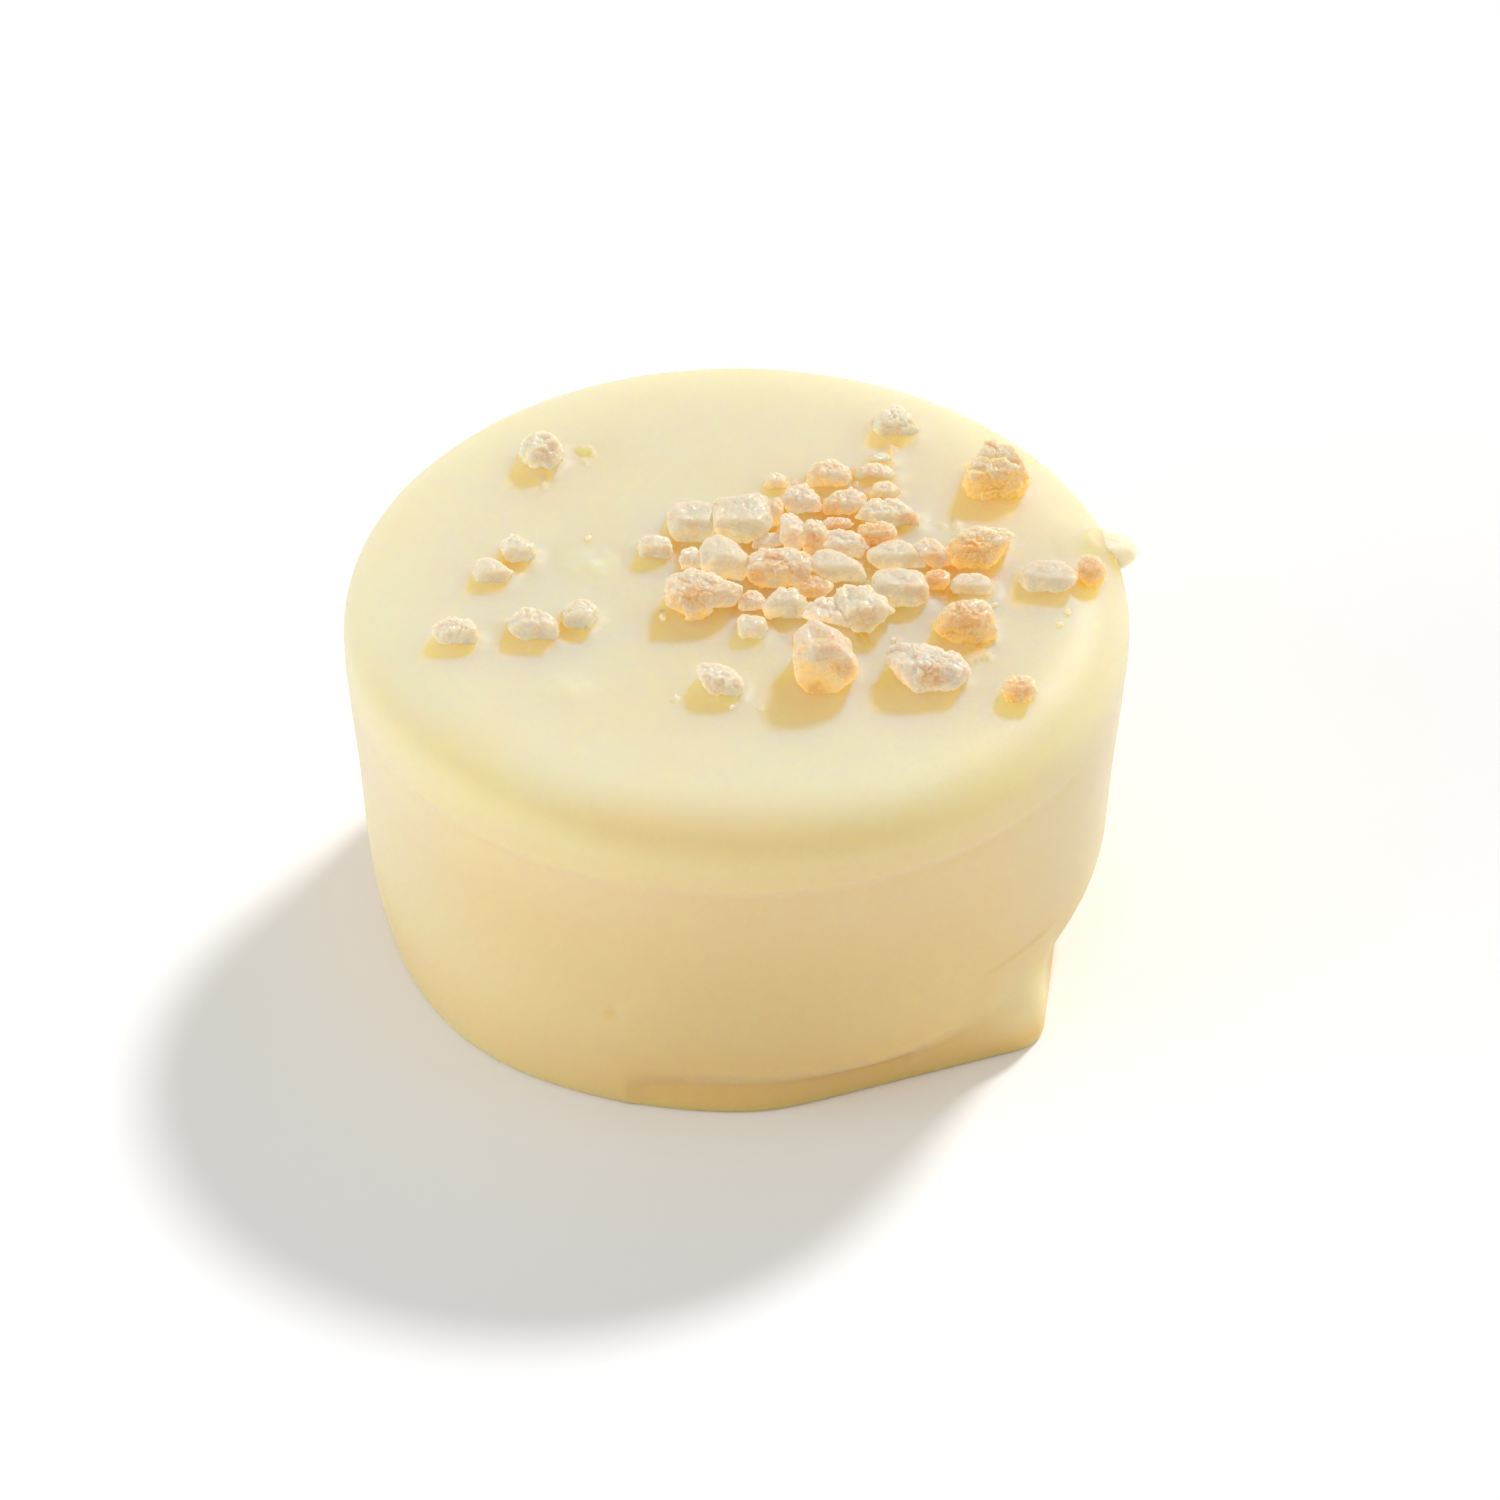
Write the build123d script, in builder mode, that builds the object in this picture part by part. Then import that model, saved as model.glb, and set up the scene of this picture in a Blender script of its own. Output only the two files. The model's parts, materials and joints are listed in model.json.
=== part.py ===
from build123d import *
import math
import os
import random

# A poured shaving soap puck: one soap casting, wide at the top and tapered to
# its base, with coarse salt crystals bedded in its top face while it set.
# Millimetres, +Z up. The origin is on the table face, on the casting's axis,
# and -Y is the side with the drip.

os.makedirs("parts", exist_ok=True)

# ---- soap casting -----------------------------------------------------------
top_radius = 30.0          # widest radius, just under the rim
height = 29.7             # table face to flat top
rim_round = 4.0            # rounding between the flat top and the wall
base_radius = 26.8         # radius of the face it stands on
ring_height = 23.3         # pour line round the wall
ring_depth = 0.22
ring_half_width = 0.8
# wall radius against height, between the base and the pour line
wall = [(1.3, 27.25), (3.7, 27.9), (7.5, 28.4), (13.7, 28.9), (18.4, 29.4)]

# recess under the casting's lower edge, deepest on the drip side and running
# out to nothing either way: a cove turned about an axis set off from the
# casting's own
recess_top = 6.2
recess_radius = 30.1       # of the cove, at the table
recess_offset = 4.0        # of the cove's axis
recess_angle = -42.0       # direction of its deepest point, degrees from +X

# drip that ran down inside the recess and set on the table
drip_height = 8.2
drip_base = [(23.9, -12.0), (23.8, -17.2), (22.7, -19.1), (18.6, -21.1),
             (12.9, -23.1), (9.4, -24.5), (9.0, -14.0)]
drip_top = [(22.6, -12.0), (22.3, -15.2), (21.4, -17.6), (17.6, -20.6),
            (12.4, -22.6), (9.2, -24.2), (9.0, -14.0)]

# small pit left by an air bubble in the wall
pit_angle = -109.0
pit_height = 9.8
pit_radius = 0.9

# ---- salt crystals ----------------------------------------------------------
# name, centre x, y, z, width, depth, height of the block it is cut from, facet
# seed, and the crystal's outline: corners across and up, from the centre, on a
# plane that faces the drip side and leans back by outline_lean
heap = [
    ("heap_crystal_01",  11.22,  11.24,  29.85, 2.66, 1.19, 1.56, 77,
     [(-0.47, -0.49), (0.60, -0.38), (1.33, 0.02), (0.99, 0.71), (0.26, 0.91), (-0.17, 0.86), (-0.82, 0.54), (-1.33, -0.32)]),
    ("heap_crystal_02",   5.01,   9.73,  30.14, 2.83, 1.97, 2.41, 35,
     [(-0.94, -0.71), (-0.12, -0.89), (0.47, -0.96), (1.31, -0.63), (1.42, 0.24), (0.90, 1.10), (0.04, 1.44), (-0.90, 1.10), (-1.42, 0.15)]),
    ("heap_crystal_03",   8.06,   9.46,  30.07, 3.39, 1.89, 2.22, 70,
     [(-1.70, -0.41), (-1.22, -0.89), (-0.52, -0.89), (0.26, -0.80), (0.93, -0.53), (1.43, -0.07), (1.70, 0.23), (1.52, 1.00), (0.67, 1.35), (-0.36, 1.00), (-1.22, 0.40), (-1.66, -0.26)]),
    ("heap_crystal_04",   3.15,   8.07,  30.22, 0.86, 1.88, 2.64, 28,
     [(-0.43, -0.38), (-0.41, -0.59), (-0.00, -0.99), (0.35, -0.04), (0.43, 0.64), (0.17, 1.32), (-0.43, 1.50)]),
    ("heap_crystal_05",  11.20,   8.00,  30.17, 4.90, 2.13, 2.20, 84,
     [(-0.74, -0.40), (0.13, -0.46), (0.39, -0.65), (2.22, -1.03), (2.45, -0.80), (2.45, 0.06), (1.85, 0.83), (0.87, 1.40), (-1.20, 1.18), (-2.36, 0.13), (-2.45, -0.04)]),
    ("heap_crystal_06",   7.65,   7.09,  29.82, 2.27, 0.98, 1.48, 56,
     [(-1.02, 0.01), (-0.72, -0.40), (-0.35, -0.32), (0.11, -0.12), (1.05, -0.03), (1.14, 0.48), (0.45, 0.82), (-0.61, 0.71), (-1.14, 0.26)]),
    ("heap_crystal_07",  -3.41,   6.88,  30.02, 3.53, 3.57, 3.56, 14,
     [(-1.51, -0.60), (-0.74, -1.37), (0.64, -1.20), (1.30, -0.90), (1.59, -0.73), (1.77, 0.10), (1.58, 1.80), (0.64, 2.32), (-0.91, 2.06), (-1.77, 1.12)]),
    ("heap_crystal_08",   0.47,   6.85,  30.44, 4.50, 3.97, 3.96, 21,
     [(-2.03, -0.67), (-1.19, -1.15), (-0.97, -1.21), (-0.87, -1.34), (-0.03, -1.83), (2.25, -0.17), (1.95, 2.57), (0.41, 2.48), (-1.31, 1.97), (-2.25, 1.43)]),
    ("heap_crystal_09",  10.73,   5.63,  30.00, 2.92, 1.64, 1.99, 91,
     [(-1.26, 0.09), (-0.77, -0.58), (-0.11, -0.75), (1.07, -0.22), (1.46, 0.40), (1.12, 0.88), (-0.34, 1.19), (-0.94, 1.09), (-1.46, 0.49)]),
    ("heap_crystal_10",   4.24,   5.27,  30.48, 1.62, 2.17, 3.14, 42,
     [(-0.81, 1.19), (-0.81, -0.19), (-0.42, -1.05), (0.32, -1.29), (0.81, -0.63), (0.81, 0.85), (0.65, 1.44), (0.43, 1.66), (-0.01, 1.75), (-0.74, 1.39)]),
    ("heap_crystal_11",   2.34,   5.03,  29.75, 2.32, 1.40, 1.55, 364,
     [(-0.75, -0.48), (1.16, 0.02), (0.99, 0.71), (0.13, 0.97), (-0.83, 0.59), (-1.16, -0.06)]),
    ("heap_crystal_12",   5.97,   4.93,  30.32, 1.76, 2.36, 2.94, 49,
     [(-0.88, -0.16), (-0.67, -1.01), (-0.09, -1.22), (0.24, -0.98), (0.62, -0.49), (0.88, 0.36), (0.42, 1.41), (-0.24, 1.74), (-0.88, 1.34)]),
    ("heap_crystal_13",   8.35,   4.19,  30.22, 3.28, 1.90, 2.32, 98,
     [(-0.95, -0.34), (0.27, -0.88), (0.76, -1.00), (1.64, 0.04), (0.90, 1.06), (0.59, 1.23), (0.03, 1.38), (-1.00, 1.17), (-1.21, 1.06), (-1.64, 0.11)]),
    ("heap_crystal_14",  14.92,   3.03,  30.13, 3.27, 2.06, 2.38, 133,
     [(-0.06, -0.85), (1.21, -0.98), (1.64, -0.87), (1.64, -0.35), (0.86, 0.85), (0.01, 1.45), (-1.02, 1.28), (-1.64, 0.90)]),
    ("heap_crystal_15",  12.33,   2.84,  30.21, 5.04, 2.32, 2.41, 126,
     [(-2.52, 0.45), (-2.32, -0.01), (-1.55, -0.70), (-0.73, -0.82), (2.14, -1.13), (2.52, -0.84), (0.70, 1.18), (0.17, 1.53), (-0.30, 1.44), (-1.06, 1.10), (-1.55, 0.76), (-1.82, 0.76)]),
    ("heap_crystal_16",  -3.45,   2.67,  29.98, 1.70, 1.58, 1.93, 108,
     [(-0.85, 0.04), (-0.51, -0.71), (0.35, -0.65), (0.85, -0.32), (0.70, 0.55), (0.18, 1.16), (-0.68, 0.81)]),
    ("heap_crystal_17",  -0.92,   2.02,  30.41, 3.59, 3.13, 3.50, 105,
     [(-1.59, -0.71), (0.28, -1.54), (1.12, -1.43), (1.80, -0.82), (1.80, 0.41), (1.08, 1.37), (-0.30, 2.16), (-0.90, 1.98), (-1.25, 1.78), (-1.80, 1.23)]),
    ("heap_crystal_18",   7.64,   1.22,  30.30, 4.16, 2.33, 2.67, 119,
     [(-2.00, 0.07), (-1.00, -0.51), (0.27, -1.20), (1.77, -1.20), (2.08, -0.43), (1.79, 0.52), (-0.69, 1.63), (-1.22, 1.46), (-2.08, 0.82)]),
    ("heap_crystal_19",   3.26,   0.88,  30.45, 4.70, 2.74, 3.07, 112,
     [(-2.35, -0.12), (-2.02, -0.68), (-0.99, -1.45), (-0.34, -1.45), (1.30, -0.91), (2.35, 0.03), (2.25, 0.96), (1.86, 1.27), (-0.05, 1.89), (-1.97, 1.48), (-2.35, 1.22)]),
    ("heap_crystal_20",  15.29,  -0.01,  30.02, 1.80, 1.44, 1.90, 147,
     [(-0.73, -0.36), (0.13, -0.70), (0.82, -0.10), (0.90, 0.59), (0.47, 1.02), (-0.35, 1.10), (-0.90, 0.67)]),
    ("heap_crystal_21",   5.85,  -0.82,  29.95, 3.04, 1.71, 2.01, 189,
     [(-0.78, -0.67), (0.10, -0.74), (0.38, -0.71), (1.21, -0.01), (1.52, 0.53), (1.33, 0.70), (0.61, 1.11), (0.06, 1.22), (-0.83, 0.90), (-1.52, 0.16)]),
    ("heap_crystal_22",  12.35,  -1.65,  30.44, 4.25, 2.56, 3.04, 140,
     [(-2.12, 0.32), (-0.62, -1.04), (0.15, -1.38), (1.18, -1.13), (1.95, -0.61), (2.12, 0.25), (1.87, 1.19), (1.46, 1.55), (-1.21, 1.83), (-1.57, 1.79), (-2.08, 1.28)]),
    ("heap_crystal_23",   1.17,  -2.55,  29.96, 1.94, 1.35, 1.88, 168,
     [(-0.97, -0.30), (-0.57, -0.63), (0.51, -0.63), (0.93, -0.21), (0.97, 0.01), (0.83, 0.64), (0.32, 1.07), (-0.54, 0.90), (-0.97, 0.30)]),
    ("heap_crystal_24",  -2.58,  -2.66,  30.59, 5.49, 3.12, 3.43, 161,
     [(-2.32, -0.39), (-1.37, -1.16), (-0.51, -1.67), (0.26, -1.24), (0.69, -0.56), (2.06, -0.47), (2.75, 0.21), (2.59, 0.94), (-0.08, 2.13), (-1.82, 2.13), (-2.15, 2.02), (-2.75, 0.82)]),
    ("heap_crystal_25",   3.67,  -3.14,  30.17, 3.10, 2.32, 2.71, 182,
     [(-1.55, -0.09), (-1.37, -0.75), (-0.43, -1.09), (0.86, -1.01), (1.33, -0.66), (1.55, 0.40), (0.43, 1.65), (-0.37, 1.39), (-0.94, 0.88), (-1.45, 0.37)]),
    ("heap_crystal_26",   9.33,  -4.39,  30.57, 4.84, 3.06, 3.37, 196,
     [(-2.42, 1.58), (-1.79, 0.77), (-1.64, 0.51), (-0.11, -1.60), (0.27, -1.64), (1.13, -1.04), (1.82, -0.26), (2.42, 0.16), (2.42, 0.53), (1.02, 1.79), (0.59, 2.09), (-1.60, 2.09), (-1.97, 1.99)]),
    ("heap_crystal_27",   6.94,  -5.03,  30.33, 3.70, 2.41, 2.75, 203,
     [(-1.85, 0.65), (-1.80, 0.29), (-1.05, -0.04), (-0.21, -0.04), (0.91, -0.30), (1.43, -1.14), (1.66, -1.25), (1.85, -0.81), (1.53, -0.04), (0.50, 1.38), (0.05, 1.68), (-1.12, 1.57), (-1.72, 1.27)]),
    ("heap_crystal_28",   1.23,  -5.75,  29.89, 2.23, 1.96, 2.31, 175,
     [(-1.03, -0.16), (-0.43, -0.76), (0.60, -0.59), (1.12, 0.18), (0.86, 1.04), (0.28, 1.40), (-0.73, 1.40), (-1.12, 0.78)]),
    ("heap_crystal_29",   6.72, -11.16,  31.51, 4.55, 4.18, 5.39, 210,
     [(-2.19, 1.57), (-2.27, 0.02), (-1.93, -1.52), (-1.07, -2.72), (0.30, -2.64), (2.19, -1.26), (2.27, -0.32), (1.60, 1.78), (-1.43, 3.13), (-1.59, 3.11), (-2.02, 2.77)]),
]
loose = [
    ("loose_crystal_01",  12.14,  19.42,  30.18, 3.59, 2.37, 2.53, 238,
     [(-1.08, -0.80), (-0.04, -0.88), (1.00, -1.12), (1.79, -0.88), (1.79, -0.32), (1.24, 0.40), (0.68, 1.27), (-0.20, 1.59), (-1.08, 0.79), (-1.79, -0.16)]),
    ("loose_crystal_02",  11.11,  15.37,  29.68, 1.91, 0.91, 1.28, 371,
     [(0.12, -0.23), (0.52, -0.27), (0.96, 0.02), (0.80, 0.50), (0.08, 0.73), (-0.64, 0.50), (-0.96, 0.02)]),
    ("loose_crystal_03", -15.02,  15.33,  30.46, 3.03, 2.75, 3.07, 301,
     [(-1.43, -0.50), (-0.88, -0.98), (-0.08, -1.45), (0.88, -1.13), (1.51, -0.34), (1.51, 0.62), (1.04, 1.26), (0.32, 1.89), (-0.56, 1.65), (-1.20, 1.02), (-1.51, 0.14)]),
    ("loose_crystal_04",  10.65,  13.40,  29.84, 3.19, 1.22, 1.63, 252,
     [(-0.96, -0.49), (-0.02, -0.49), (1.28, -0.33), (1.59, 0.15), (1.12, 0.63), (0.54, 0.86), (-0.30, 0.95), (-0.64, 0.95), (-1.35, 0.63), (-1.59, -0.17)]),
    ("loose_crystal_05",   7.09,  12.90,  30.14, 3.27, 1.96, 2.40, 245,
     [(-0.92, -0.96), (0.28, -0.96), (1.24, -0.56), (1.63, -0.08), (1.24, 0.56), (0.52, 1.19), (-0.20, 1.43), (-0.92, 1.03), (-1.39, 0.40), (-1.63, -0.56)]),
    ("loose_crystal_06",   2.95,  12.34,  29.83, 1.67, 1.28, 1.75, 357,
     [(0.04, -0.51), (0.84, -0.19), (0.76, 0.53), (0.12, 1.01), (-0.60, 0.53), (-0.84, -0.11)]),
    ("loose_crystal_07",  19.92,  12.32,  30.90, 4.78, 3.86, 4.04, 259,
     [(-2.39, -0.79), (-1.99, -1.59), (-0.96, -1.99), (0.24, -2.15), (1.35, -2.07), (1.99, -1.43), (2.39, -0.63), (2.31, 0.32), (1.91, 1.28), (1.59, 1.84), (1.04, 2.23), (0.48, 2.23), (-0.08, 2.55), (-0.88, 2.23), (-1.20, 1.44), (-1.99, 0.80), (-2.39, 0.00)]),
    ("loose_crystal_08",  28.70,   5.76,  28.52, 3.75, 2.59, 2.57, 287,
     [(-1.63, -0.16), (-0.84, -0.64), (-0.12, -1.12), (0.84, -1.20), (1.55, -0.72), (1.87, 0.08), (1.47, 0.79), (0.84, 1.27), (-0.12, 1.67), (-1.08, 1.43), (-1.87, 0.55)]),
    ("loose_crystal_09",  -6.21,   3.94,  30.05, 2.55, 1.82, 2.16, 7,
     [(-1.04, -0.37), (-0.48, -0.85), (0.48, -0.85), (1.20, -0.29), (1.28, 0.51), (0.80, 1.30), (-0.08, 1.22), (-0.96, 0.91), (-1.28, 0.27)]),
    ("loose_crystal_10", -16.70,   3.64,  30.18, 2.55, 2.23, 2.54, 308,
     [(-0.72, -0.76), (-0.08, -1.08), (0.72, -0.84), (1.28, -0.28), (1.12, 0.52), (0.40, 0.92), (-0.16, 1.55), (-0.88, 1.16), (-1.28, 0.36)]),
    ("loose_crystal_11",  18.66,   3.32,  30.55, 5.02, 3.11, 3.17, 266,
     [(-2.35, -0.29), (-2.11, -0.84), (-1.71, -1.56), (-0.84, -1.56), (0.28, -1.64), (1.00, -1.16), (1.47, -0.37), (1.71, 0.19), (2.35, 0.75), (2.51, 1.31), (1.79, 1.63), (0.76, 1.71), (-0.20, 2.03), (-0.84, 1.71), (-2.51, 0.35)]),
    ("loose_crystal_12", -11.42,   2.93,  29.47, 3.98, 2.96, 1.74, 343,
     [(-1.43, -0.44), (0.00, -0.76), (1.28, -0.44), (1.99, 0.28), (1.35, 0.92), (0.16, 1.24), (-1.28, 1.00), (-1.99, 0.28)]),
    ("loose_crystal_13", -18.54,   1.22,  29.88, 3.19, 2.24, 2.27, 315,
     [(-1.20, -0.52), (-0.24, -0.84), (1.04, -0.45), (1.59, 0.27), (1.12, 0.43), (0.56, 0.99), (-0.40, 1.47), (-1.20, 1.07), (-1.59, 0.27)]),
    ("loose_crystal_14",  27.05,   1.07,  30.08, 2.07, 2.10, 2.45, 280,
     [(-0.96, -0.19), (-0.48, -0.83), (0.24, -1.07), (0.88, -0.51), (1.04, 0.29), (0.72, 1.01), (0.08, 1.48), (-0.64, 1.33), (-1.04, 0.69)]),
    ("loose_crystal_15",  23.76,   0.25,  30.13, 4.46, 2.78, 2.40, 273,
     [(-2.15, -0.10), (-1.67, -0.89), (-0.72, -1.21), (0.24, -1.05), (1.35, -0.73), (1.99, -0.18), (2.23, 0.46), (1.99, 1.18), (0.88, 1.58), (-0.40, 1.66), (-1.51, 1.50), (-2.23, 0.86)]),
    ("loose_crystal_16",  17.93,  -0.56,  29.98, 3.19, 1.80, 2.09, 154,
     [(-1.59, 0.08), (-1.23, -0.78), (-0.70, -0.73), (-0.40, -0.64), (1.59, -0.48), (1.59, 0.32), (1.20, 0.80), (0.40, 1.20), (-0.72, 1.28), (-1.51, 0.96)]),
    ("loose_crystal_17", -11.92,  -4.43,  30.08, 2.47, 2.16, 2.42, 336,
     [(-1.00, -0.58), (-0.28, -0.97), (0.68, -0.66), (1.24, -0.02), (1.24, 0.78), (0.68, 1.50), (-0.12, 1.42), (-0.92, 1.02), (-1.24, 0.14)]),
    ("loose_crystal_18",  17.31,  -5.63,  30.67, 4.46, 2.98, 3.34, 217,
     [(-2.15, -0.49), (-1.67, -1.05), (-0.64, -1.53), (0.56, -1.69), (1.51, -1.53), (2.15, -1.13), (2.23, -0.33), (1.99, 0.78), (1.67, 1.74), (1.42, 2.05), (0.29, 1.93), (-0.48, 1.58), (-1.43, 0.86), (-2.23, 0.14)]),
    ("loose_crystal_19", -15.29,  -5.66,  30.18, 3.75, 2.37, 2.53, 329,
     [(-1.87, -0.00), (-1.39, -0.56), (-0.44, -1.04), (0.68, -1.12), (1.63, -0.88), (1.87, -0.08), (1.39, 0.72), (0.60, 1.19), (-0.28, 1.59), (-1.24, 1.35), (-1.87, 0.56)]),
    ("loose_crystal_20", -21.19,  -6.44,  30.12, 3.59, 2.03, 2.35, 322,
     [(-1.08, -0.72), (0.12, -0.96), (1.24, -0.72), (1.79, -0.08), (1.39, 0.71), (0.76, 1.27), (-1.00, 1.43), (-1.63, 0.95), (-1.79, -0.01)]),
    ("loose_crystal_21",  14.53, -11.30,  30.65, 5.98, 3.62, 3.42, 231,
     [(-2.99, 0.51), (-2.43, -0.29), (-1.71, -1.09), (-0.84, -1.64), (0.28, -1.88), (1.08, -1.72), (2.67, -0.77), (2.99, 0.03), (2.83, 0.67), (0.92, 1.47), (-0.12, 2.02), (-1.31, 2.26), (-2.35, 1.94), (-2.99, 1.47)]),
    ("loose_crystal_22", -12.91, -12.05,  29.47, 3.27, 2.96, 1.74, 350,
     [(-1.24, -0.44), (-0.20, -0.76), (0.92, -0.52), (1.63, 0.20), (1.24, 0.92), (0.12, 1.24), (-1.00, 1.00), (-1.63, 0.28)]),
    ("loose_crystal_23",  -1.27, -12.59,  30.29, 3.43, 2.43, 2.63, 224,
     [(-1.47, 0.69), (-1.00, -0.11), (-0.36, -0.75), (0.44, -1.22), (1.31, -0.91), (1.71, -0.27), (1.55, 0.45), (0.92, 1.01), (-0.04, 1.41), (-1.00, 1.64), (-1.71, 1.56)]),
    ("loose_crystal_24",  21.34, -13.38,  30.19, 2.31, 1.78, 2.17, 294,
     [(-1.16, -0.30), (-0.84, -0.78), (0.04, -0.94), (0.84, -0.62), (1.16, 0.02), (1.16, 0.66), (0.76, 1.13), (-0.04, 1.29), (-0.76, 0.98), (-1.16, 0.34)]),
]
outline_lean = 39.0        # degrees
chip_keep = (0.90, 0.98)   # how far out a chipped facet lies, centre to corner
back_keep = (0.82, 0.95)   # the same on the side away from the drip

# salt grit too small to stand out: x, y, size, facet seed
grit = [(9.25, 12.35, 0.55, 1), (8.75, 11.70, 0.50, 2), (-0.31, -14.90, 0.50, 3),
        (1.92, -14.95, 0.45, 4), (25.20, -3.20, 0.45, 5), (24.60, -4.70, 0.40, 6),
        (-11.30, 5.75, 0.50, 7), (19.60, -2.40, 0.50, 8), (11.90, -6.70, 0.50, 9),
        (-5.60, -3.90, 0.55, 10), (4.30, 12.60, 0.50, 11), (21.10, 1.00, 0.45, 12)]


def seat_height(x, y):
    """Height of the top face at (x, y), rim rounding included."""
    out = math.hypot(x, y) - (top_radius - rim_round)
    if out <= 0:
        return height
    return height - rim_round + math.sqrt(rim_round ** 2 - min(out, rim_round * 0.98) ** 2)


def facet_planes(centre, half, place, seed):
    """Planes that knock the corners off a grain of grit."""
    rnd = random.Random(seed)
    planes = []
    for sign in [(a, b, c) for a in (-1, 1) for b in (-1, 1) for c in (-1, 1)]:
        local = Vector(*[s / h + rnd.uniform(-0.42, 0.42) / h for s, h in zip(sign, half)])
        local = local.normalized()
        reach = math.sqrt(sum((h * n) ** 2 for h, n in zip(half, (local.X, local.Y, local.Z))))
        far = rnd.uniform(0.97, 1.12) * reach
        tip = place * Pos(local.X * far, local.Y * far, local.Z * far)
        planes.append(Plane(origin=tip.position, z_dir=(tip.position - centre).normalized()))
    return planes


def chip_directions(seed):
    """Where a crystal has facets besides its block's faces and its outline."""
    rnd = random.Random(500 + seed)

    def near(x, y, z, spread=0.28):
        return Vector(x + rnd.uniform(-spread, spread), y + rnd.uniform(-spread, spread),
                      z + rnd.uniform(-spread, spread)).normalized()

    toward = [near(-0.75, -0.75, 0.25), near(0.75, -0.75, 0.25), near(-0.55, -0.1, 0.85),
              near(0.55, -0.1, 0.85), near(0.0, -0.7, 0.7), near(0.1, 0.15, 1.0, 0.2)]
    away = [near(-0.7, 0.6, 0.3), near(0.7, 0.6, 0.3), near(0.0, 0.8, 0.6), near(0.0, 0.5, -0.8)]
    rnd.shuffle(toward)
    return [(n, chip_keep) for n in toward[:5]] + [(n, back_keep) for n in away], rnd


lean = math.radians(outline_lean)
crystals = []
for name, x, y, z, wide, deep, tall, seed, outline in heap + loose:
    centre = Vector(x, y, z)
    chips, rnd = chip_directions(seed)
    face_on = Plane(origin=centre, x_dir=(1, 0, 0), z_dir=(0, -math.cos(lean), math.sin(lean)))
    with BuildPart() as crystal:
        with BuildSketch(face_on):
            with BuildLine():
                Polyline(*outline, close=True)
            make_face()
        extrude(amount=deep + tall, both=True)
        with Locations(centre):
            Box(wide + 0.4, deep, tall, mode=Mode.INTERSECT)
        for normal, keep in chips:
            far = max((corner.center() - centre).dot(normal) for corner in crystal.vertices())
            split(bisect_by=Plane(origin=centre + normal * (far * rnd.uniform(*keep)), z_dir=normal),
                  keep=Keep.BOTTOM)
    crystal.part.label = name
    crystals.append(crystal)

grains = []
for x, y, size, seed in grit:
    place = Location((x, y, seat_height(x, y) + size * 0.22), (seed * 17, seed * 29, seed * 41))
    with BuildPart() as grain:
        with Locations(place):
            Box(size, size * 0.8, size * 0.7)
        for cut in facet_planes(place.position, (size / 2, size * 0.4, size * 0.35), place, seed):
            split(bisect_by=cut, keep=Keep.BOTTOM)
    grains.append(grain)
with BuildPart() as salt_grit:
    for grain in grains:
        add(grain.part)
salt_grit.part.label = "salt_grit"

# ---- the casting ------------------------------------------------------------
with BuildPart() as soap_cake:
    with BuildSketch(Plane.XZ):
        with BuildLine():
            foot = Line((0, 0), (base_radius, 0))
            below = Spline((base_radius, 0), *[(r, z) for z, r in wall],
                           (top_radius - 0.2, ring_height - ring_half_width),
                           tangents=((0.55, 1), (0.06, 1)))
            ring = ThreePointArc(below @ 1,
                                 (top_radius - 0.15 - ring_depth, ring_height),
                                 (top_radius - 0.1, ring_height + ring_half_width))
            above = Line(ring @ 1, (top_radius, height - rim_round))
            rim = JernArc(above @ 1, (0, 1), rim_round, 90)
            flat = Line(rim @ 1, (0, height))
            Line(flat @ 1, (0, 0))
        make_face()
    revolve(axis=Axis.Z)

    # recess under the lower edge
    cove_x = -recess_offset * math.cos(math.radians(recess_angle))
    cove_y = -recess_offset * math.sin(math.radians(recess_angle))
    with BuildSketch(Plane(origin=(cove_x, cove_y, 0), x_dir=(1, 0, 0), z_dir=(0, -1, 0))):
        with BuildLine():
            mouth = Line((top_radius + 6, -1), (recess_radius, -1))
            inner = Line(mouth @ 1, (recess_radius, 1.0))
            cove = Spline(inner @ 1, (recess_radius + 0.5, 3.2), (recess_radius + 3.2, recess_top),
                          tangents=((0, 1), (1, 0.45)))
            lid = Line(cove @ 1, (top_radius + 6, recess_top + 0.8))
            Line(lid @ 1, mouth @ 0)
        make_face()
    revolve(axis=Axis((cove_x, cove_y, 0), (0, 0, 1)), mode=Mode.SUBTRACT)

    # the drip, narrowing into the wall above
    with BuildSketch(Plane.XY):
        with BuildLine():
            Polyline(*drip_base, close=True)
        make_face()
    with BuildSketch(Plane.XY.offset(drip_height)):
        with BuildLine():
            Polyline(*drip_top, close=True)
        make_face()
    loft(ruled=True)

    # air pit in the wall
    pit_x = (28.75 + pit_radius * 0.45) * math.cos(math.radians(pit_angle))
    pit_y = (28.75 + pit_radius * 0.45) * math.sin(math.radians(pit_angle))
    with Locations((pit_x, pit_y, pit_height)):
        Sphere(pit_radius, mode=Mode.SUBTRACT)

    # seats that the crystals and the grit left in the top
    for crystal in crystals:
        add(crystal.part, mode=Mode.SUBTRACT)
    add(salt_grit.part, mode=Mode.SUBTRACT)
soap_cake.part.label = "soap_cake"

# ---- files ------------------------------------------------------------------
export_step(soap_cake.part, "parts/soap_cake.step")
for crystal in crystals:
    export_step(crystal.part, "parts/" + crystal.part.label + ".step")
export_step(salt_grit.part, "parts/salt_grit.step")

print("soap volume cm3", round(soap_cake.part.volume / 1000, 2),
      "pieces", len(crystals) + 2)
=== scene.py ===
import json
import math

import bmesh
import bpy
import numpy as np
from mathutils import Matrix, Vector, noise
from mathutils.bvhtree import BVHTree


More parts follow.
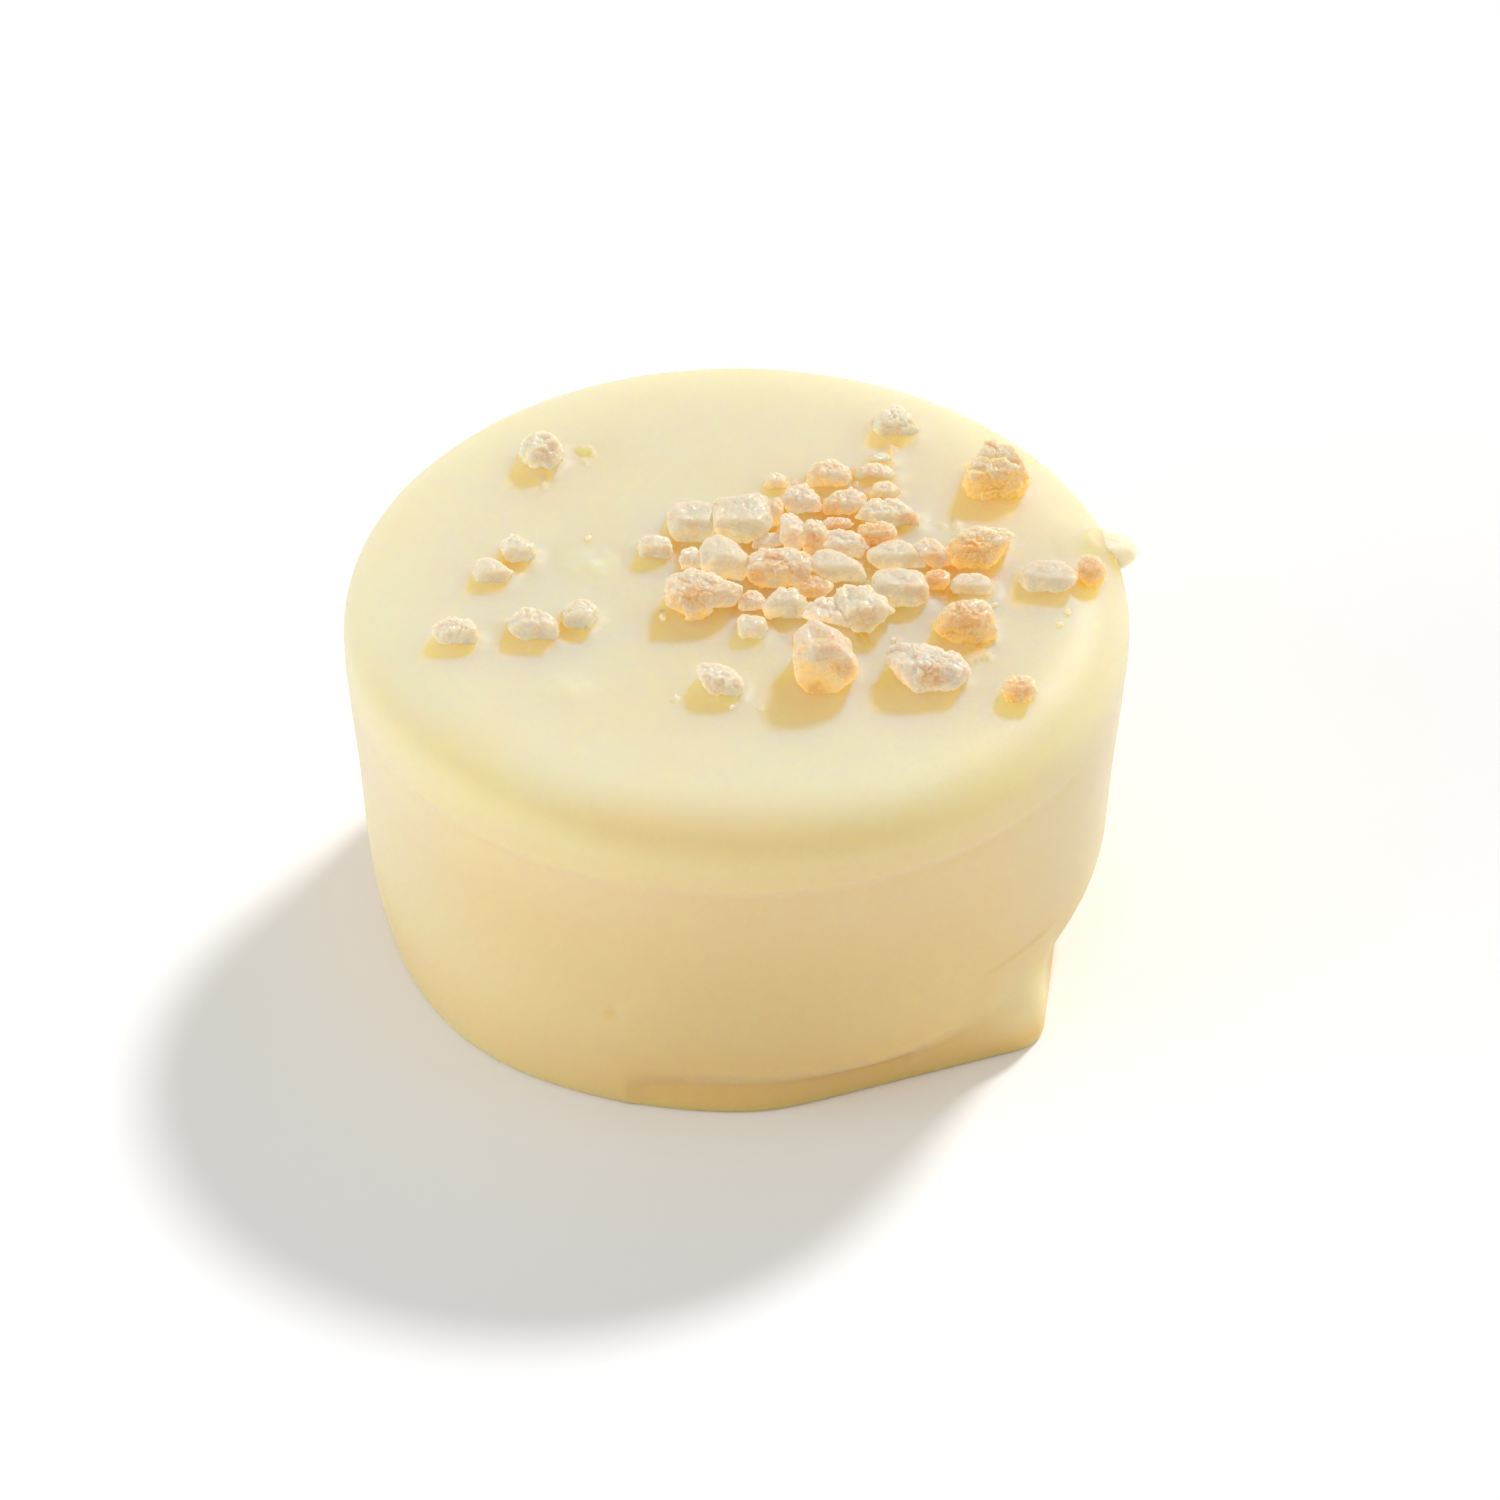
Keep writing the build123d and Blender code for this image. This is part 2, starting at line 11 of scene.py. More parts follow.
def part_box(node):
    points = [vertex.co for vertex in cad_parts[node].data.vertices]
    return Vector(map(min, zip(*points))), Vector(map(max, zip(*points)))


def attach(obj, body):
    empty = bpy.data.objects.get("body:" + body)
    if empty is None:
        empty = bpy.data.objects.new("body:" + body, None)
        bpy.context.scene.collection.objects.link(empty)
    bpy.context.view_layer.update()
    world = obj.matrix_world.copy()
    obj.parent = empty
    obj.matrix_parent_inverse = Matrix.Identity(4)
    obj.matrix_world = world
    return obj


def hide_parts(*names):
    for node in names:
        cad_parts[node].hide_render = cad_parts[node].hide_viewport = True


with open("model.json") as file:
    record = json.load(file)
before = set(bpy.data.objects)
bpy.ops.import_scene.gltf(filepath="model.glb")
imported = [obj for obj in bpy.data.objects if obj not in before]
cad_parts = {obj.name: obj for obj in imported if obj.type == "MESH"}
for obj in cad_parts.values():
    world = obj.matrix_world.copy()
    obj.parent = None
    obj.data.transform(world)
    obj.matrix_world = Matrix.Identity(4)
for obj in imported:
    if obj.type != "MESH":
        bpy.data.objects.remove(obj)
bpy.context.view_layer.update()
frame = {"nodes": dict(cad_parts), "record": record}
scene = bpy.context.scene
MM = 0.001

# ---------------------------------------------------------------- camera ----
ELEVATION = math.radians(39.0)
DISTANCE = 1.500
LENS = 469.8
LOOK = Vector((0.00103, 0.0, 0.0137))
cam_data = bpy.data.cameras.new("camera")
cam_data.lens = LENS
cam_data.sensor_width = 36.0
cam_data.clip_start = 0.01
cam_data.clip_end = 20.0
cam = bpy.data.objects.new("camera", cam_data)
scene.collection.objects.link(cam)
cam.location = LOOK + DISTANCE * Vector((0, -math.cos(ELEVATION), math.sin(ELEVATION)))
cam.rotation_euler = (math.pi / 2 - ELEVATION, 0, 0)
scene.camera = cam
scene.view_settings.view_transform = "Standard"
scene.view_settings.look = "None"
scene.view_settings.exposure = 0.0
scene.view_settings.gamma = 1.0

# ---------------------------------------------------------------- lights ----
LIGHT_AZ = math.radians(33.0)    # from +Y towards +X
LIGHT_EL = math.radians(43.0)
sun_data = bpy.data.lights.new("key", "SUN")
sun_data.energy = 2.20
sun_data.angle = math.radians(9.0)
sun_data.color = (1.0, 1.0, 1.0)
sun = bpy.data.objects.new("key", sun_data)
scene.collection.objects.link(sun)
to_light = Vector((math.sin(LIGHT_AZ) * math.cos(LIGHT_EL), math.cos(LIGHT_AZ) * math.cos(LIGHT_EL), math.sin(LIGHT_EL)))
sun.rotation_euler = to_light.to_track_quat("Z", "Y").to_euler()
sun.location = to_light * 1.5

world = bpy.data.worlds.new("studio")
scene.world = world
world.use_nodes = True
wn = world.node_tree
bg = wn.nodes["Background"]
bg.inputs["Color"].default_value = (1.0, 0.965, 0.90, 1.0)
bg.inputs["Strength"].default_value = 0.47

for name, power, colour, at in (("fill_left", 2.6, (0.85, 0.97, 1.10), (-0.60, -0.20, 0.11)),
                                ("fill_right", 0.9, (0.80, 0.93, 1.0), (0.62, -0.12, 0.10))):
    fill_data = bpy.data.lights.new(name, "AREA")
    fill_data.shape = "DISK"
    fill_data.size = 0.6
    fill_data.energy = power
    fill_data.color = colour
    fill = bpy.data.objects.new(name, fill_data)
    scene.collection.objects.link(fill)
    fill.location = at
    fill.rotation_euler = (Vector(at) - LOOK).to_track_quat("Z", "Y").to_euler()


# ------------------------------------------------------------- utilities ----
def smooth(a, b, x):
    t = np.clip((np.asarray(x, float) - a) / (b - a), 0, 1)
    return t * t * (3 - 2 * t)


def softmax2(a, b, k):
    """Larger of a and b, with the crease rounded over about k."""
    d = (a - b) / k
    return np.where(np.abs(d) < 1, np.maximum(a, b) + k * (1 - np.abs(d)) ** 2 / 4, np.maximum(a, b))


def softmin2(a, b, k):
    return -softmax2(-a, -b, k)


def make_object(name, verts, faces, smooth_shade=True):
    me = bpy.data.meshes.new(name)
    me.from_pydata([tuple(v) for v in verts], [], faces)
    me.validate()
    me.update()
    if smooth_shade:
        me.polygons.foreach_set("use_smooth", [True] * len(me.polygons))
    ob = bpy.data.objects.new(name, me)
    scene.collection.objects.link(ob)
    return ob


def point_value(ob, name, values):
    ob.data.attributes.new(name, "FLOAT", "POINT").data.foreach_set("value", np.asarray(values, dtype=np.float32))


def fbm(p, scale, octaves=3, seed=0.0):
    """Signed fractal noise at the points p, in about -1 to 1."""
    out = np.empty(len(p))
    off = Vector((seed * 7.13, seed * 3.71, seed * 5.57))
    for i, v in enumerate(p):
        q = Vector(v) * scale + off
        a, f, s = 1.0, 1.0, 0.0
        for _ in range(octaves):
            s += a * noise.noise(q * f)
            a *= 0.5
            f *= 2.1
        out[i] = s
    return out


# ------------------------------------------------------------ soap shape ----
# All of this is in millimetres, in the frame of the CAD part.
H = 29.7
R = 30.0
RHO = 4.0
WALL_Z = np.array([0.0, 1.3, 2.5, 3.7, 5.5, 7.5, 9.7, 13.7, 18.4, 20.6, 22.4, 23.0, 23.5, 24.1, 25.7])
WALL_R = np.array([26.95, 27.3, 27.62, 27.87, 28.15, 28.38, 28.6, 28.92, 29.38, 29.62, 29.76, 29.74, 29.80, 29.97, 30.0])


def spline(xs, ys, x):
    """Monotone cubic through the points (Fritsch-Carlson)."""
    xs, ys = np.asarray(xs, float), np.asarray(ys, float)
    h = np.diff(xs)
    d = np.diff(ys) / h
    m = np.zeros(len(xs))
    m[1:-1] = np.where(d[:-1] * d[1:] > 0, 2 * d[:-1] * d[1:] / (d[:-1] + d[1:] + 1e-12), 0)
    m[0], m[-1] = d[0], d[-1]
    x = np.clip(x, xs[0], xs[-1])
    i = np.clip(np.searchsorted(xs, x) - 1, 0, len(h) - 1)
    t = (x - xs[i]) / h[i]
    return (ys[i] * (1 + 2 * t) * (1 - t) ** 2 + h[i] * m[i] * t * (1 - t) ** 2
            + ys[i + 1] * t * t * (3 - 2 * t) + h[i] * m[i + 1] * t * t * (t - 1))


def foot_radius(theta):
    """Outline of the foot on the table: two nearly flat faces that meet in the drip."""
    c, s = np.cos(theta), np.sin(theta)
    front = 26.22 / np.maximum(0.3665 * c - 0.9304 * s, 0.05)
    right = 24.95 / np.maximum(0.9959 * c - 0.0905 * s, 0.05)
    corner = softmin2(front, right, 2.4)
    round_ = 27.0 + 0.75 * np.exp(-((np.degrees(theta) + 133) / 20.0) ** 2) - 0.35 * np.exp(-((np.degrees(theta) + 170) / 9.0) ** 2)
    return softmin2(corner, round_, 0.8), corner


def wall_radius(theta, z):
    deg = np.degrees(theta)
    body = spline(WALL_Z, WALL_R, z)
    # how far the lower edge is undercut here: front and right sides only
    cut = smooth(-109, -99, deg) * (1 - smooth(4, 26, deg))
    rho = 4.2
    edge = 6.3 + 1.6 * smooth(-60, -20, deg)
    low = np.clip((edge - z) / rho, 0, 0.995)
    under = 28.3 - rho * (1 - np.sqrt(1 - low * low))
    body = np.where(z < edge, body * (1 - cut) + np.minimum(body, under) * cut, body)
    foot, corner = foot_radius(theta)
    # the drip stands proud of the casting and dies away up the wall
    in_corner = (deg > -60) & (deg < -18)
    fade = 1 - smooth(2.2, 8.8, z)
    proud = np.where(in_corner, 28.3 + np.maximum(corner - 28.3, -6) * np.where(corner > 28.3, fade, 1.0), 0)
    foot_z = np.where(in_corner, np.minimum(corner, 40), foot)
    foot_z = np.where(in_corner & (corner > 28.3), proud, foot_z)
    foot_z = foot_z - 0.25 * smooth(0.8, 3.0, z) * cut * (~in_corner)
    r = np.where(cut > 0.001, softmax2(body, foot_z, 0.9), softmax2(body, foot, 0.5))
    # nothing of the foot above the wall's own lower band
    r = np.where(z > 9.0, body, r)
    return r


top_nodes = [n for n in frame["nodes"] if n not in ("soap_cake", "salt_grit")]
trees, centres, reach = {}, {}, {}
for n in top_nodes:
    me = frame["nodes"][n].data
    vs = np.array([v.co for v in me.vertices]) * 1000.0
    trees[n] = BVHTree.FromPolygons([Vector(v) for v in vs], [tuple(p.vertices) for p in me.polygons])
    lo, hi = vs.min(0), vs.max(0)
    centres[n] = (lo + hi) / 2
    reach[n] = float(np.linalg.norm((hi - lo)[:2]) / 2)

# grains that the soap closed over: only a soft mound shows them
BURIED = [n for n in top_nodes if float(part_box(n)[1].z) * 1000.0 < H + 0.75 and math.hypot(centres[n][0], centres[n][1]) < 26
          and reach[n] > 1.5]


def meniscus(points):
    """Height that the soap climbs near each crystal, and how closely crystals crowd round the point."""
    out = np.zeros(len(points))
    crowd = np.zeros(len(points))
    for n in top_nodes:
        c, r = centres[n], reach[n]
        if n in BURIED:
            lo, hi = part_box(n)
            a, b = (hi.x - lo.x) * 500.0, (hi.y - lo.y) * 500.0
            u = ((points[:, 0] - c[0]) / a) ** 2 + ((points[:, 1] - c[1]) / b) ** 2
            wob = 1 + 0.16 * np.sin(points[:, 0] * 3.1 + points[:, 1] * 1.7) + 0.12 * np.sin(points[:, 1] * 4.3 - points[:, 0] * 1.3)
            out = np.maximum(out, 0.46 * (hi.z * 1000.0 - H - 0.04) * np.exp(-(u ** 1.3) * 0.8) * wob)
            continue
        tall, wide = CLIMB[n]
        near = np.hypot(points[:, 0] - c[0], points[:, 1] - c[1]) < r + 2.2
        for i in np.nonzero(near)[0]:
            p = Vector(points[i])
            q, nn, _, d = shapes[n].find_nearest(p)
            if q is None:
                continue
            inside = (p - q).dot(nn) < 0
            d = 0.0 if inside else d
            out[i] = max(out[i], tall * math.exp(-d / wide) + 0.05 * math.exp(-d / 1.3))
            crowd[i] += math.exp(-d / 0.60)
    return out, crowd


def halo_of(points):
    """Golden light that the grains pass on to the soap: their shape, cast away from this scene's key light."""
    vs, fs, base = [], [], 0
    for n in top_nodes:
        if n in BURIED:
            continue
        me = frame["nodes"][n].data
        vs += [v.co * 1000.0 for v in me.vertices]
        fs += [tuple(base + i for i in p.vertices) for p in me.polygons]
        base = len(vs)
    tree = BVHTree.FromPolygons(vs, fs)
    side = to_light.cross(Vector((0, 0, 1))).normalized()
    rise = side.cross(to_light)
    ways = [to_light] + [(to_light + 0.13 * (side * math.cos(a) + rise * math.sin(a))).normalized() for a in np.arange(0, 6.28, 0.7854)]
    out = np.zeros(len(points))
    for i in np.nonzero(np.hypot(points[:, 0], points[:, 1]) < 29.5)[0]:
        p = Vector(points[i]) + Vector((0, 0, 0.05))
        hits = 0
        for w in ways:
            q = tree.ray_cast(p, w, 6.5)
            if q[0] is not None:
                hits += 1
        out[i] = hits / len(ways)
    return out


def soap_mesh():
    seg = 512
    th = np.linspace(0, 2 * math.pi, seg, endpoint=False)
    thw = (th + math.pi) % (2 * math.pi) - math.pi
    rows = []
    # base: centre, then out to the contact edge
    base_fracs = [0.25, 0.5, 0.75, 0.9]
    edge = wall_radius(thw, np.full(seg, 0.35))
    for f in base_fracs:
        rows.append((edge * f, np.zeros(seg)))
    for a in (0.0, 30.0, 60.0):
        t = math.radians(a)
        rows.append((edge - 0.35 * (1 - math.sin(t)), np.full(seg, 0.35 * (1 - math.cos(t)))))
    zs = np.concatenate([np.arange(0.35, 9.6, 0.22), np.arange(9.7, 22.0, 0.42), np.arange(22.1, 25.3, 0.16)])
    for z in zs:
        rows.append((wall_radius(thw, np.full(seg, z)), np.full(seg, z)))
    # the rim is a slow curve, wider than it is tall
    for a in np.linspace(0, 90, 34):
        t = math.radians(a)
        rows.append((np.full(seg, R - 6.0 + 6.0 * max(math.cos(t), 0.0) ** (2 / 2.25)), np.full(seg, H - RHO + RHO * math.sin(t) ** (2 / 2.25))))
    for r in np.arange(23.7, 0.6, -0.30):
        rows.append((np.full(seg, r), np.full(seg, H)))
    pts = []
    for r, z in rows:
        pts.append(np.stack([r * np.cos(th), r * np.sin(th), z], 1))
    P = np.concatenate(pts)
    # slow unevenness of a hand-poured casting
    n_low = fbm(P, 0.045, 2, 1.0)
    n_mid = fbm(P, 0.14, 2, 2.0)
    rad = np.hypot(P[:, 0], P[:, 1])
    on_wall = smooth(0.4, 3.0, P[:, 2]) * smooth(25.5, 27, rad)
    out = np.stack([P[:, 0] / np.maximum(rad, 1e-6), P[:, 1] / np.maximum(rad, 1e-6)], 1)
    push = (0.10 * n_low + 0.05 * n_mid) * on_wall - 0.03 * on_wall
    P[:, 0] += out[:, 0] * push
    P[:, 1] += out[:, 1] * push
    on_top = smooth(28.2, 29.3, P[:, 2])
    P[:, 2] += on_top * (0.07 * n_low + 0.035 * n_mid)
    # air pit in the front wall
    pit = np.array([28.66 * math.cos(math.radians(-109)), 28.66 * math.sin(math.radians(-109)), 9.8])
    d = np.linalg.norm(P - pit, axis=1)
    dent = 0.34 * np.exp(-(d / 0.62) ** 2)
    P[:, 0] -= out[:, 0] * dent
    P[:, 1] -= out[:, 1] * dent
    # soap drawn up round the crystals
    top = np.nonzero(P[:, 2] > 27.0)[0]
    climb, crowd = meniscus(P[top])
    P[top, 2] += climb
    # painted amber light in the soap where the grains crowd
    amber_crowd_light = np.zeros(len(P) + 2)
    amber_crowd_light[top + 1] = smooth(0.45, 1.9, crowd)
    halo = np.zeros(len(P) + 2)
    halo[top + 1] = halo_of(P[top])
    # painted light: the tip of the drip is paler, as if lit through from behind
    deg = np.degrees(np.arctan2(P[:, 1], P[:, 0]))
    thin = np.zeros(len(P) + 2)
    thin[1:-1] = np.exp(-((deg + 40.5) / 6.5) ** 2) * smooth(0.6, 3.6, P[:, 2]) * (1 - smooth(4.8, 9.4, P[:, 2]))
    verts = [(0, 0, 0)] + [tuple(p) for p in P] + [(0, 0, float(P[-seg:, 2].mean()))]
    faces = []
    n_rows = len(rows)
    for i in range(seg):
        j = (i + 1) % seg
        faces.append((0, 1 + j, 1 + i))
    for k in range(n_rows - 1):
        a = 1 + k * seg
        b = a + seg
        for i in range(seg):
            j = (i + 1) % seg
            faces.append((a + i, a + j, b + j, b + i))
    last = 1 + (n_rows - 1) * seg
    tip = len(verts) - 1
    for i in range(seg):
        j = (i + 1) % seg
        faces.append((last + i, last + j, tip))
    verts = np.array(verts) * MM
    ob = make_object("soap_casting", verts, faces)
    point_value(ob, "amber_crowd_light", amber_crowd_light)
    point_value(ob, "halo", halo)
    point_value(ob, "thin", thin)
    return ob


# --------------------------------------------------------- crystal shapes ----
def icosphere(level):
    bm = bmesh.new()
    bmesh.ops.create_icosphere(bm, subdivisions=level, radius=1.0)
    v = np.array([x.co[:] for x in bm.verts])
    f = [tuple(x.index for x in p.verts) for p in bm.faces]
    bm.free()
    return v / np.linalg.norm(v, axis=1)[:, None], f


SPHERES = {}


def sphere(level):
    if level not in SPHERES:
        S, F = icosphere(level)
        e = np.array([(f[i], f[(i + 1) % 3]) for f in F for i in range(3)])
        SPHERES[level] = (S, F, e[:, 0], e[:, 1], np.bincount(e[:, 0], minlength=len(S)).astype(float))
    return SPHERES[level]


def relax(r, level, turns, keep=0.5):
    """Average a radius over neighbouring directions, which rounds the edges."""
    _, _, a, b, count = sphere(level)
    for _ in range(turns):
        r = keep * r + (1 - keep) * np.bincount(a, weights=r[b], minlength=len(r)) / count
    return r


def random_turn(rnd):
    q = rnd.normal(size=4)
    q /= np.linalg.norm(q)
    w, x, y, z = q
    return np.array([[1 - 2 * (y * y + z * z), 2 * (x * y - z * w), 2 * (x * z + y * w)],
                     [2 * (x * y + z * w), 1 - 2 * (x * x + z * z), 2 * (y * z - x * w)],
                     [2 * (x * z - y * w), 2 * (y * z + x * w), 1 - 2 * (x * x + y * y)]])


def grains(P, cell, seed):
    """Height of a crust of small crystals: every cell is a little plane with a tilt of its own."""
    out = np.empty(len(P))
    off = Vector((seed * 3.7, seed * 1.9, seed * 2.3))
    for i, v in enumerate(P):
        q = Vector(v) / cell + off
        d, pts = noise.voronoi(q)
        c = pts[0]
        t = noise.cell_vector(c * 7.31) * 2 - Vector((1, 1, 1))
        edge = min(d[1] - d[0], 0.25) / 0.25
        out[i] = (q - c).dot(t) * 0.95 + 0.22 * edge - 0.11
    return out


# How each grain grew: crusted grains are clusters of small crystals, smooth ones are worn lumps.
CRUSTED = {"loose_crystal_18", "heap_crystal_24", "loose_crystal_24", "loose_crystal_21", "heap_crystal_09", "heap_crystal_12",
           "heap_crystal_06", "loose_crystal_07", "loose_crystal_11", "heap_crystal_13", "loose_crystal_03", "loose_crystal_20",
           "heap_crystal_05", "heap_crystal_19", "loose_crystal_23", "loose_crystal_05", "heap_crystal_02", "loose_crystal_01",
           "heap_crystal_27", "heap_crystal_26"}
COATED = {"loose_crystal_08"}
PALE = {"loose_crystal_01", "loose_crystal_02", "loose_crystal_03", "loose_crystal_04", "loose_crystal_09", "loose_crystal_10",
        "loose_crystal_13", "loose_crystal_17", "loose_crystal_19", "loose_crystal_20", "loose_crystal_23"}
SMOOTH = {"heap_crystal_22", "heap_crystal_18", "heap_crystal_29", "heap_crystal_15", "loose_crystal_16", "heap_crystal_17",
          "heap_crystal_07", "heap_crystal_08", "loose_crystal_15", "loose_crystal_08", "loose_crystal_13", "heap_crystal_28"}


# Brown earthy inclusions in the salt: centre and size in mm, and how dark.
CORES = [(-3.1, -4.3, 32.4, 1.3, 1.00), (2.8, 0.1, 32.1, 1.2, 0.80), (1.5, -0.5, 31.4, 0.9, 0.70),
         (4.4, -0.6, 31.8, 0.9, 0.60), (17.4, -7.0, 32.0, 1.7, 1.00), (16.2, -7.0, 31.0, 1.0, 0.70),
         (14.8, -13.4, 31.6, 1.2, 0.90), (21.4, -14.3, 31.2, 1.2, 0.80), (8.1, -13.5, 32.5, 0.9, 0.90),
         (6.7, -13.4, 34.0, 1.2, 0.45), (6.1, -13.3, 30.6, 0.8, 0.60), (7.7, 6.6, 30.2, 1.2, 0.90),
         (10.7, 4.9, 31.0, 1.6, 0.90), (13.0, 6.9, 30.6, 1.0, 0.90), (10.4, 12.8, 30.6, 0.8, 0.60),
         (3.6, 7.7, 31.0, 0.9, 0.80), (5.8, 3.9, 31.1, 0.9, 0.80), (5.8, -1.3, 31.0, 1.3, 0.80),
         (15.1, -0.4, 31.0, 1.1, 0.90), (18.0, 1.8, 32.0, 1.8, 0.90), (16.9, 1.8, 31.8, 1.1, 0.80),
         (15.2, 1.9, 31.0, 1.0, 0.60), (20.0, 10.4, 31.4, 1.6, 0.60), (21.7, 11.6, 33.0, 0.8, 0.50),
         (9.8, -6.0, 31.4, 1.1, 0.50), (17.4, -1.5, 30.6, 0.9, 0.50), (26.8, 0.4, 31.3, 1.2, 0.80),
         (5.2, 1.1, 31.9, 0.8, 0.70), (0.8, -2.7, 31.0, 0.8, 0.50), (7.1, 8.4, 30.7, 0.9, 0.60),
         (-6.3, 3.0, 30.8, 0.8, 0.40), (-1.6, -3.5, 32.5, 0.9, 0.50), (-14.7, 13.9, 31.5, 0.8, 0.40),
         (-18.5, 0.1, 31.0, 0.8, 0.40), (-15.1, -7.0, 31.0, 0.8, 0.35), (11.9, 18.2, 30.4, 0.8, 0.40),
         (-1.7, -14.1, 31.0, 0.8, 0.35)]


def inclusions(W, seed):
    """How much brown shows at each point, ragged at the border of every inclusion."""
    rag = 1.0 + 0.45 * fbm(W, 1.6, 3, seed + 21) + 0.25 * fbm(W, 4.5, 2, seed + 22)
    out = np.zeros(len(W))
    for x, y, z, size, dark in CORES:
        d = np.linalg.norm(W - np.array([x, y, z]), axis=1) / size
        out = np.maximum(out, dark * (1 - smooth(0.35, 1.25, d * rag)))
    # and a few more, here and there
    return np.maximum(out, 0.40 * smooth(0.42, 0.62, fbm(W, 0.55, 2, seed + 23)))


def grain_shape(tree, lo, hi, seed, level, style):
    """Points and faces of one grain of salt, in mm, with how frosted each point is, a value that also carries painted
    light and shade.

    The radius in every direction comes from the CAD grain. It is chipped, roughened with
    intergrown crystals at two sizes, and left rounder where the style is smooth.
    """
    rnd = np.random.RandomState(seed)
    S, F, _, _, _ = sphere(level)
    c, half = (lo + hi) / 2, (hi - lo) / 2
    size = float(np.cbrt(np.prod(half)))
    o = Vector(c)
    swell = 1.07 if np.hypot(c[0], c[1]) < 17 else 1.02
    r = np.empty(len(S))
    for i, v in enumerate(S):
        hit = tree.ray_cast(o, Vector(v))
        r[i] = hit[3] * swell if hit[0] is not None else size
    P = S * r[:, None]
    for _ in range(18):
        n = rnd.normal(size=3)
        n[2] = abs(n[2]) * 0.8
        n /= np.linalg.norm(n)
        d = float((P @ n).max()) * rnd.uniform(0.86, 0.985)
        k = S @ n
        r = np.where(k > 1e-3, np.minimum(r, d / np.maximum(k, 1e-3)), r)
        P = S * r[:, None]
    r = relax(r, level, (4 if level >= 6 else 2) if style == "smooth" else 1)
    P = S * r[:, None]
    W = P + c
    wear = fbm(W, 1.0 / max(size, 0.5), 2, seed)
    fine = fbm(W, 5.0, 2, seed + 3)
    big = grains(W, 0.62 * max(size, 0.6), seed % 7)
    mid = grains(W, 0.46, seed % 5 + 2)
    small = grains(W, 0.21, seed % 3 + 5)
    patch = smooth(-0.25, 0.45, fbm(W, 0.7, 2, seed + 9))
    if style == "crusted":
        amp = (0.05 * wear + 0.19 * big) * size + 0.13 * mid + 0.075 * small + 0.02 * fine
    elif style == "smooth":
        amp = (0.06 * wear + 0.07 * big) * size + 0.045 * mid * patch + 0.035 * small * patch + 0.02 * fine
    else:
        amp = (0.05 * wear + 0.14 * big) * size + 0.10 * mid * (0.4 + 0.6 * patch) + 0.055 * small * patch + 0.02 * fine
    W = W + S * amp[:, None]
    z0 = max(float(lo[2]), H - 1.0) if hi[2] > H - 0.5 else float(lo[2])
    lift = np.clip((W[:, 2] - z0) / max(float(hi[2]) - z0, 0.4), 0, 1)
    crease = np.clip(0.5 + amp / (0.30 * size + 0.12), 0, 1)
    # frosted where it stands up, with painted light on the side turned to the key light and painted shade low down and
    # in the creases
    to_sun = S @ np.array([to_light.x, to_light.y, 0.0]) / math.hypot(to_light.x, to_light.y)
    frost_and_shade = 0.46 * lift + 0.38 * crease + 0.16 * (0.5 + 0.65 * to_sun)
    return W, F, frost_and_shade


def crystal_mesh(name, node, seed, level):
    me = frame["nodes"][node].data
    vs = np.array([v.co for v in me.vertices]) * 1000.0
    style = "smooth" if node in SMOOTH or node in COATED or node in BURIED else "crusted" if node in CRUSTED else "plain"
    W, F, frost_and_shade = grain_shape(trees[node], vs.min(0), vs.max(0), seed, level, style)
    if node in BURIED:
        c = W.mean(0)
        W = c + (W - c) * np.array([0.9, 0.9, 0.8])
        W[:, 2] -= W[:, 2].max() - (H - 0.05)
    ob = make_object(name, W * MM, F)
    point_value(ob, "frost_and_shade", frost_and_shade)
    point_value(ob, "earth", inclusions(W, seed))
    return ob


def islands(me):
    """Vertex and face lists, in mm, of each separate solid in a mesh."""
    vs = np.array([v.co for v in me.vertices]) * 1000.0
    key, ids = {}, []
    for v in vs:
        k = tuple(np.round(v, 4))
        ids.append(key.setdefault(k, len(key)))
    parent = list(range(len(key)))

    def root(i):
        while parent[i] != i:
            parent[i] = parent[parent[i]]
            i = parent[i]
        return i

    for p in me.polygons:
        q = [ids[i] for i in p.vertices]
        for i in q[1:]:
            parent[root(i)] = root(q[0])
    groups = {}
    for p in me.polygons:
        groups.setdefault(root(ids[p.vertices[0]]), []).append(tuple(p.vertices))
    out = []
    for faces in groups.values():
        used = sorted({i for f in faces for i in f})
        where = {i: j for j, i in enumerate(used)}
        out.append((vs[used], [tuple(where[i] for i in f) for f in faces]))
    return sorted(out, key=lambda g: tuple(np.round(g[0].mean(0), 3)))


# ------------------------------------------------------------- materials ----
def nodes_of(mat):
    mat.use_nodes = True
    nt = mat.node_tree
    return nt, nt.nodes, nt.links, nt.nodes["Principled BSDF"]


def ramp(nodes, stops, fac, links, interp="LINEAR"):
    r = nodes.new("ShaderNodeValToRGB")
    r.color_ramp.interpolation = interp
    els = r.color_ramp.elements
    while len(els) < len(stops):
        els.new(0.5)
    for e, (pos, col) in zip(els, stops):
        e.position = pos
        e.color = (*col, 1.0)
    links.new(fac, r.inputs["Fac"])
    return r.outputs["Color"]


def noise_node(nodes, links, coord, scale, detail=3.0, rough=0.55):
    n = nodes.new("ShaderNodeTexNoise")
    n.inputs["Scale"].default_value = scale
    n.inputs["Detail"].default_value = detail
    n.inputs["Roughness"].default_value = rough
    links.new(coord, n.inputs["Vector"])
    return n.outputs["Fac"]


def mix_color(nodes, links, a, b, fac, blend="MIX"):
    m = nodes.new("ShaderNodeMix")
    m.data_type = "RGBA"
    m.blend_type = blend
    if isinstance(fac, float):
        m.inputs["Factor"].default_value = fac
    else:
        links.new(fac, m.inputs["Factor"])
    for sock, val in (("A", a), ("B", b)):
        s = [i for i in m.inputs if i.name == sock and i.type == "RGBA"][0]
        if isinstance(val, tuple):
            s.default_value = (*val, 1.0)
        else:
            links.new(val, s)
    return [o for o in m.outputs if o.type == "RGBA"][0]


